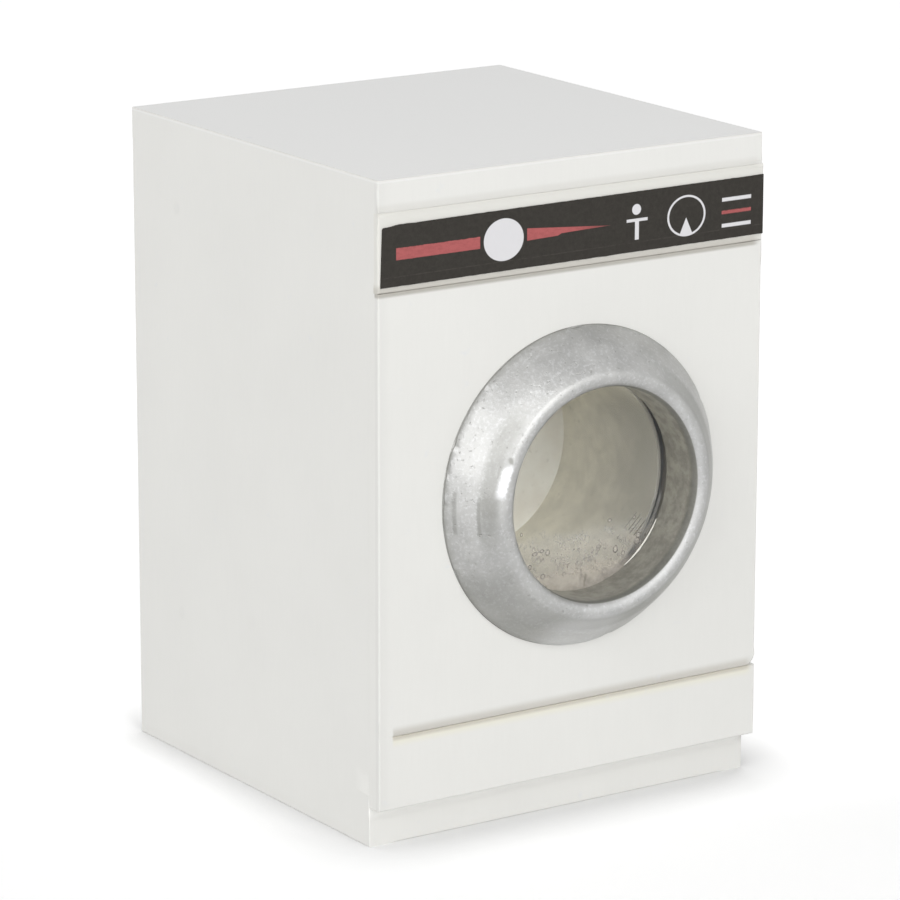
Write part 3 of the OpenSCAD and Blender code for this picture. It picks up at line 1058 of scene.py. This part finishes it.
class WASHER_OT_door(Operator):
    """Builds the door board, with its round hole and rounded hinge edge"""

    bl_idname = "washer.door"
    bl_label = "Door Board"

    def execute(self, context):
        sizes, colours = context.scene.washer_sizes, context.scene.washer_colours
        low, high = box_mm("door_board")
        filled_x = low.x + FILLED_LENGTH
        outline = door_outline(low, high, sizes.worn_corner / MM)
        bm, rim = pierced_plate(outline, PANE_RADIUS + HOLE_SPACE, low.y, high.y)
        radii = door_radii(bm, rim, sizes, low, high)
        scaled(bm)
        bm.normal_update()
        slot = (low.z - box_mm("kick_board")[1].z) * MM

        def filled(at):
            # paint narrows both gaps, closes the lower one at the free end and fills the hollows
            fill = slot if at.x < filled_x * MM else sizes.gap_fill
            over = share_of(at.z / MM, high.z - 2.0, high.z - 0.5)
            under = share_of(at.z / MM, low.z + 2.0, low.z + 0.5)
            inset = at.y - low.y * MM
            depth = at.y
            if inset < MM and (over > 0 or under > 0):
                depth -= inset * (FOOT_FILL if under > 0 else TOP_FILL)
            if at.x < (low.x + 0.5) * MM and at.y > (high.y - 0.3) * MM:
                depth = at.y + sizes.gap_fill * FREE_END_FILL
            return Vector((at.x, depth, at.z + over * sizes.gap_fill - under * fill))

        piece = ease(link_object("painted_door", mesh_from(bm, "painted_door")), radii, filled)
        # grime and painted shade along the door's top and foot, beside the gaps
        material = paint(
            "door", colours,
            (front_band(high.z, 0.5, 1.0, depth=0.6), tinted(colours.paint_grime_and_shade, 0.82)),
            (front_band(low.z, 1.2, 0.75, filled_x, 2.0), colours.paint_grime_and_shade),
        )
        dress(piece, material, DOOR, "painted_wood", "door_board")
        return {"FINISHED"}


class WASHER_OT_ring(Operator):
    """Builds the cast porthole ring"""

    bl_idname = "washer.ring"
    bl_label = "Porthole Ring"

    def execute(self, context):
        sizes, colours = context.scene.washer_sizes, context.scene.washer_colours
        material = cast_metal(colours, sizes)
        tree = turned_tube_tree(material)
        piece = tree.make(
            "cast_ring",
            Bore_radius=sizes.ring_bore, Outer_radius=RING_RADIUS * MM,
            Corner_radius=sizes.ring_corner, Height=RING_HEIGHT * MM, Foot=sizes.ring_foot,
            Shoulder_radius=sizes.ring_shoulder, Shoulder_height=sizes.shoulder_height,
            Shoulder_round=sizes.shoulder_round,
            Outer_round=sizes.ring_round, Inner_round=sizes.ring_lip,
            Wave=sizes.casting_wave, Nick=sizes.casting_nick, Seed=2, Segments=360,
        )
        place_on_port(piece, FRONT_Y)
        dress(piece, None, DOOR, "cast_metal", "porthole_ring")
        return {"FINISHED"}


def place_on_port(obj, back_y):
    """Lays a shape turned about Z over to the porthole axis, with its base at depth back_y."""
    turn = Matrix.Rotation(math.radians(90), 4, "X")
    move = Matrix.Translation(Vector((PORT_X, back_y, PORT_Z)) * MM)
    obj.data.transform(move @ turn)


def turned_tube_tree(material):
    """A tube turned from a six-sided section whose shoulder and two front corners are rounded."""
    f, i = Shape.FLOAT, Shape.INT
    g = Shape(
        "turned tube", Bore_radius=f, Outer_radius=f, Corner_radius=f, Height=f, Foot=f,
        Shoulder_radius=f, Shoulder_height=f, Shoulder_round=f,
        Outer_round=f, Inner_round=f, Wave=f, Nick=f, Seed=i, Segments=i,
    )
    bore, outer, height = g.given("Bore radius"), g.given("Outer radius"), g.given("Height")
    middle = (bore + outer) * 0.5
    path = g.geometry(
        "CurvePrimitiveCircle", {"mode": "RADIUS"}, Resolution=g.given("Segments"), Radius=middle
    )
    # the section's corners as (distance from the axis, height), outwards from the bore's foot
    corners = (
        (bore, 0.0), (outer, 0.0), (outer, g.given("Foot")),
        (g.given("Shoulder radius"), g.given("Shoulder height")),
        (g.given("Corner radius"), height), (bore, height),
    )
    section = g.geometry("MeshCircle", {"fill_type": "NONE"}, Vertices=len(corners))
    section = g.geometry("MeshToCurve", Mesh=section)
    number = g.geometry("InputIndex")
    across, along = number * 0.0, number * 0.0
    for index, (reach, rise) in enumerate(corners):
        chosen = g.matches(number, index)
        across = across + chosen * (reach - middle)
        along = along + chosen * (height * 0.5 - rise)
    section = g.geometry("SetPosition", Geometry=section, Position=g.join(across, along, 0.0))
    rounding = g.matches(number, 3) * g.given("Shoulder round")
    rounding = rounding + g.matches(number, 4) * g.given("Outer round")
    rounding = rounding + g.matches(number, 5) * g.given("Inner round")
    section = g.geometry(
        "FilletCurve", {"mode": "POLY"}, Curve=section, Count=14, Radius=rounding, Limit_Radius=True
    )
    section = g.geometry("SubdivideCurve", Curve=section, Cuts=2)
    tube = g.geometry("CurveToMesh", Curve=path, Profile_Curve=section)
    lifted = g.join(0.0, 0.0, height * 0.5)
    tube = g.geometry("Transform", Geometry=tube, Translation=lifted)
    # the sweep leaves the faces pointing into the tube
    tube = g.geometry("FlipFaces", Mesh=tube)
    at = g.geometry("InputPosition")
    shift = g.join(g.given("Seed") * 1.7, 0.0, 0.0)
    place = g.vector("ADD", g.vector("SCALE", at, 1 / MM), shift)
    wave = g.noise(place, 0.17, 3.0, 0.55)
    nick = g.noise(place, 0.32, 2.0, 0.5)
    x, y, z = g.split(at)
    flat = g.reach(x, y)
    foot = z.ramp(1.2 * MM, 0.3 * MM) * flat.ramp(middle, outer)
    depth = wave * g.given("Wave") + nick.ramp(0.55, 0.70) * foot * g.given("Nick")
    # the foot stays flat on what it stands on
    sunk = g.vector("SCALE", g.geometry("InputNormal"), depth * (z > 0.02 * MM) * -1.0)
    tube = g.geometry("SetPosition", Geometry=tube, Offset=sunk)
    g.end(tube, material)
    return g


class WASHER_OT_window(Operator):
    """Builds the clear pane and the glue bubbles on it"""

    bl_idname = "washer.window"
    bl_label = "Window Pane"

    def execute(self, context):
        scene = context.scene
        sizes, colours = scene.washer_sizes, scene.washer_colours
        radius = PANE_RADIUS
        front, back = PANE_LOW.y, PANE_HIGH.y
        ease_by = 0.12
        pane = turned("clear_pane", [
            (0.0, front), (radius * 0.5, front), (radius - ease_by, front),
            (radius, front + ease_by), (radius, back - ease_by), (radius - ease_by, back),
            (radius * 0.5, back), (0.0, back),
        ])
        dress(pane, clear_pane(colours), DOOR, "clear_pane", "window_pane")
        strip = arc_strip("glue strip", back, inner=6.2, outer=11.7, start=-150.0, end=-28.0)
        tree = bead_tree(glue_bubble(colours))
        beads = tree.make(
            "glue_bubbles", strip, Count=70, Largest=sizes.bubble_radius,
            Seed=scene.washer_stage.bubble_seed,
        )
        dress(beads, None, DOOR, "clear_pane")
        # a bead of glue along the rim at the lower right, partly a painted highlight on the pane's
        # edge
        rim = sizes.ring_bore / MM
        bead = rim_bead("rim_glue", front, rim, start=-59.0, end=-27.0, thick=0.1)
        dress(bead, set_glue(colours), DOOR, "clear_pane")
        return {"FINISHED"}


def rim_bead(name, depth, rim, start, end, thick):
    """A thin bead of glue along an arc of the pane's rim, swollen and pinched by turns."""
    bm = bmesh.new()
    steps, around = 60, 8
    rows = []
    for i in range(steps + 1):
        share = i / steps
        a = math.radians(start + (end - start) * share)
        swell = noise.noise(Vector((share * 9.0, 0.0, 0.0))) * 0.4 + 1.0
        r = thick * swell * math.sin(math.pi * share) ** 0.4 + 0.004
        row = []
        for k in range(around):
            b = 2 * math.pi * k / around
            reach = rim - thick * 1.6 + r * math.cos(b)
            row.append(bm.verts.new(at_port(reach, a, depth - thick * 1.4 + r * math.sin(b))))
        rows.append(row)
    for one, two in zip(rows, rows[1:]):
        bridge(bm, one, two)
    bm.faces.new(rows[0])
    bm.faces.new(rows[-1])
    return smooth(finished(bm, name))


def arc_strip(name, depth, inner, outer, start, end):
    """A flat arc about the porthole axis, facing back, that marks are scattered on."""
    bm = bmesh.new()
    steps = 40
    rows = []
    for i in range(steps + 1):
        a = math.radians(start + (end - start) * i / steps)
        rows.append([bm.verts.new(at_port(reach, a, depth)) for reach in (inner, outer)])
    for one, two in zip(rows, rows[1:]):
        bridge(bm, one, two, closed=False)
    scaled(bm)
    bm.normal_update()
    for face in bm.faces:
        if face.normal.y < 0:
            face.normal_flip()
    return mesh_from(bm, name)


def bead_tree(material):
    """Scatters flat beads over a surface, a few large and many small."""
    g = Shape("beads", Count=Shape.INT, Largest=Shape.FLOAT, Seed=Shape.INT)
    surface = g.given("Surface")
    seed = g.given("Seed")
    points = g.geometry(
        "DistributePointsOnFaces", {"distribute_method": "RANDOM"},
        Mesh=surface, Density=POINTS_PER_M2, Seed=seed,
    )
    turn = points.other("Rotation")
    spare = g.geometry("InputIndex") > g.given("Count")
    points = g.geometry(
        "DeleteGeometry", {"domain": "POINT"}, Geometry=points, Selection=spare
    )
    bead = g.geometry("MeshUVSphere", Segments=14, Rings=8, Radius=1.0)
    _, _, height = g.split(g.geometry("InputPosition"))
    bead = g.geometry(
        "StoreNamedAttribute", {"data_type": "FLOAT", "domain": "POINT"},
        Geometry=bead, Name="rim", Value=1.0 - abs(height),
    )
    bead = g.geometry("Transform", Geometry=bead, Scale=(1.0, 1.0, BEAD_FLATNESS))

    def chance(low, high, seed):
        sockets = {"Min": low, "Max": high, "Seed": seed}
        return g.node("FunctionNodeRandomValue", {"data_type": "FLOAT"}, sockets)

    radius = (chance(0.0, 1.0, seed) ** 2.4 * 0.75 + 0.25) * g.given("Largest")
    squeezed = g.join(radius, radius * chance(0.6, 1.3, seed + 1.0), radius)
    beads = g.geometry(
        "InstanceOnPoints", Points=points, Instance=bead, Rotation=turn, Scale=squeezed
    )
    g.end(beads, material)
    return g


class WASHER_OT_drum(Operator):
    """Builds the drum tube and finishes the boards round it"""

    bl_idname = "washer.drum"
    bl_label = "Drum"

    def execute(self, context):
        scene = context.scene
        sizes, colours = scene.washer_sizes, scene.washer_colours
        card = lining("drum card", colours.drum_wall)
        tree = turned_tube_tree(card)
        low, high = box_mm("drum_tube")
        outer = (high.x - low.x) / 2 * MM
        piece = tree.make(
            "drum_lining",
            Bore_radius=sizes.drum_bore, Outer_radius=outer, Corner_radius=outer,
            Height=(high.y - low.y) * MM, Foot=1.0 * MM,
            Shoulder_radius=outer, Shoulder_height=2.0 * MM, Shoulder_round=0.0,
            Outer_round=0.18 * MM, Inner_round=0.18 * MM,
            Wave=0.03 * MM, Nick=0.0, Seed=5, Segments=256,
        )
        place_on_port(piece, high.y)
        dress(piece, None, CABINET, "drum_card", "drum_tube")
        coat("drum_back", lining("drum board", colours.drum_end, 0.7))
        coat("inner_front", bare_wood(colours))
        return {"FINISHED"}


def strip_outline(low, high):
    """The strip's outline as (x, z) points: cut a little askew, with round corners."""
    corners = [
        (low.x, low.z, 180, 0.08), (high.x, low.z + 0.16, 270, 0.08),
        (high.x, high.z, 0, 0.08), (low.x + 0.22, high.z - 0.4, 90, 0.2),
    ]
    # how far the upper edge drops at some distances from the left
    drops = [(12.0, 0.13), (4.5, 0.2), (2.4, 0.17)]
    outline = []
    for (x, z, start, radius), (sx, sz) in zip(corners, ((1, 1), (-1, 1), (-1, -1), (1, -1))):
        if start == 90:
            outline += [(low.x + along, high.z - drop) for along, drop in drops]
        for i in range(7):
            a = math.radians(start + 90 * i / 6)
            outline.append((
                x + sx * radius + radius * math.cos(a), z + sz * radius + radius * math.sin(a)
            ))
    return outline


def cut_by_hand(outline, middle_z):
    """Points along an outline in (x, z) that wander inwards from its upper and lower edges."""
    points = []
    for (ax, az), (bx, bz) in zip(outline, outline[1:] + outline[:1]):
        steps = max(1, round(math.hypot(bx - ax, bz - az) / HAND_CUT_STEP))
        for i in range(steps):
            t = i / steps
            x, z = ax + (bx - ax) * t, az + (bz - az) * t
            cut = HAND_CUT * noise.noise(Vector((x, z, 0)) * 1.3) - HAND_CUT
            if steps > 1:
                z += cut if z > middle_z else -cut
            points.append((x, z))
    return points


class WASHER_OT_label(Operator):
    """Builds the printed control strip"""

    bl_idname = "washer.label"
    bl_label = "Control Strip"

    def execute(self, context):
        colours = context.scene.washer_colours
        low, high = box_mm("control_label")
        bm = bmesh.new()
        points = cut_by_hand(strip_outline(low, high), (low.z + high.z) / 2)
        back = [bm.verts.new((x, high.y, z)) for x, z in points]
        front = [bm.verts.new((x, low.y, z)) for x, z in points]
        bridge(bm, back, front)
        broad = [bm.faces.new(front), bm.faces.new(list(reversed(back)))]
        bmesh.ops.triangulate(bm, faces=broad)
        piece = finished(bm, "printed_strip")
        dress(piece, printed_strip(colours), CABINET, "printed_label", "control_label")
        return {"FINISHED"}


class WASHER_OT_fittings(Operator):
    """Finishes the hinge pins and the nails"""

    bl_idname = "washer.fittings"
    bl_label = "Hinge and Nails"

    def execute(self, context):
        colours = context.scene.washer_colours
        steel = brushed_steel(colours)
        for node in ("upper_hinge_pin", "lower_hinge_pin", "side_nails"):
            coat(node, steel)
        return {"FINISHED"}


class WASHER_OT_stage(Operator):
    """Sets up the floor, the world, the lights and the camera"""

    bl_idname = "washer.stage"
    bl_label = "Studio"

    def execute(self, context):
        scene, stage = context.scene, context.scene.washer_stage
        scene.view_settings.view_transform = "Standard"
        self.floor(stage)
        self.world(scene, stage)
        self.light("key light", azimuth=-6.0, size=0.5, power=stage.key_power)
        self.light("side light", azimuth=-74.0, size=1.0, power=stage.side_power)
        camera = bpy.data.objects.new("camera", bpy.data.cameras.new("camera"))
        scene.collection.objects.link(camera)
        camera.data.lens = stage.lens
        camera.location = CAMERA_PLACE * MM
        turn = (CAMERA_AIM - CAMERA_PLACE).to_track_quat("-Z", "Y")
        roll = Matrix.Rotation(math.radians(CAMERA_ROLL), 3, "Z")
        camera.rotation_euler = (turn.to_matrix() @ roll).to_euler()
        scene.camera = camera
        return {"FINISHED"}

    def floor(self, stage):
        bm = bmesh.new()
        bmesh.ops.create_grid(bm, x_segments=1, y_segments=1, size=3.0)
        floor = link_object("floor", mesh_from(bm, "floor"))
        f = Finish("floor paper", Roughness=0.9, Specular_IOR_Level=0.1)
        tooth = f.noise(f.place, 0.5, 2.0)
        f.colour = f.mix(tooth, stage.floor_dark, stage.floor_light)
        f.surface()
        x, y, _ = f.split(f.place)
        behind = (y + x * 0.5).ramp(-35.0, 5.0)
        # less white is added where the object stands over the floor, so its soft shadow stays
        open_sky = f.node("ShaderNodeAmbientOcclusion", None, {"Distance": stage.shade_reach})
        open_sky = ((open_sky.other("AO") - 0.5) * 2.0).clamp()
        white = behind * (stage.far_lift - stage.near_lift) + stage.near_lift
        lift = f.node("ShaderNodeEmission", None, {"Strength": f.shown() * white * open_sky})
        paper = Value(f, f.shader.outputs[0])
        both = f.node("ShaderNodeAddShader", None, {0: paper, 1: lift})
        f.feed(f.output.inputs["Surface"], both)
        floor.data.materials.append(f.material)

    def world(self, scene, stage):
        world = bpy.data.worlds.new("studio")
        world.use_nodes = True
        scene.world = world
        w = Build(world.node_tree)
        w.tree.nodes.clear()
        _, _, up = w.split(w.node("ShaderNodeTexCoord"))
        sky = up.ramp(0.0, 0.8) * (stage.world_high - stage.world_low) + stage.world_low
        shown = w.shown()
        backdrop = up.ramp(0.2, 0.75) * (stage.ceiling - 1.0) + 1.0
        strength = shown * backdrop + (1.0 - shown) * sky
        back = w.node("ShaderNodeBackground", None, {"Color": (1, 1, 1, 1), "Strength": strength})
        w.node("ShaderNodeOutputWorld", None, {"Surface": back})

    def light(self, name, azimuth, size, power, elevation=28.0, distance=0.95):
        """A square soft light that faces the porthole, placed by its angles about the object."""
        a, e = math.radians(azimuth), math.radians(elevation)
        out = Vector((math.sin(a) * math.cos(e), -math.cos(a) * math.cos(e), math.sin(e)))
        data = bpy.data.lights.new(name, "AREA")
        data.size = size
        data.energy = power
        lamp = link_object(name, data)
        lamp.location = Vector((0.0, 0.0, 0.035)) + out * distance
        lamp.rotation_euler = (-out).to_track_quat("-Z", "Y").to_euler()


# ---- panel and registration ----

OPERATORS = (
    WASHER_OT_stage,
    WASHER_OT_boards,
    WASHER_OT_door,
    WASHER_OT_ring,
    WASHER_OT_window,
    WASHER_OT_drum,
    WASHER_OT_label,
    WASHER_OT_fittings,
)


class WASHER_PT_panel(Panel):
    """Lists the pieces of the toy washing machine"""

    bl_idname = "WASHER_PT_panel"
    bl_label = "Toy Washer"
    bl_space_type = "VIEW_3D"
    bl_region_type = "UI"
    bl_category = "Toy Washer"

    def draw(self, context):
        for operator in OPERATORS:
            self.layout.operator(operator.bl_idname)


GROUPS = {
    "washer_sizes": WasherSizes,
    "washer_colours": WasherColours,
    "washer_stage": WasherStage,
}
CLASSES = (*GROUPS.values(), *OPERATORS, WASHER_PT_panel)


def register():
    for cls in CLASSES:
        bpy.utils.register_class(cls)
    for name, group in GROUPS.items():
        setattr(bpy.types.Scene, name, PointerProperty(type=group))


def unregister():
    for name in GROUPS:
        delattr(bpy.types.Scene, name)
    for cls in reversed(CLASSES):
        bpy.utils.unregister_class(cls)


def main():
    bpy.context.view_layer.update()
    register()
    for operator in OPERATORS:
        group, name = operator.bl_idname.split(".")
        getattr(getattr(bpy.ops, group), name)()


if __name__ == "__main__":
    main()
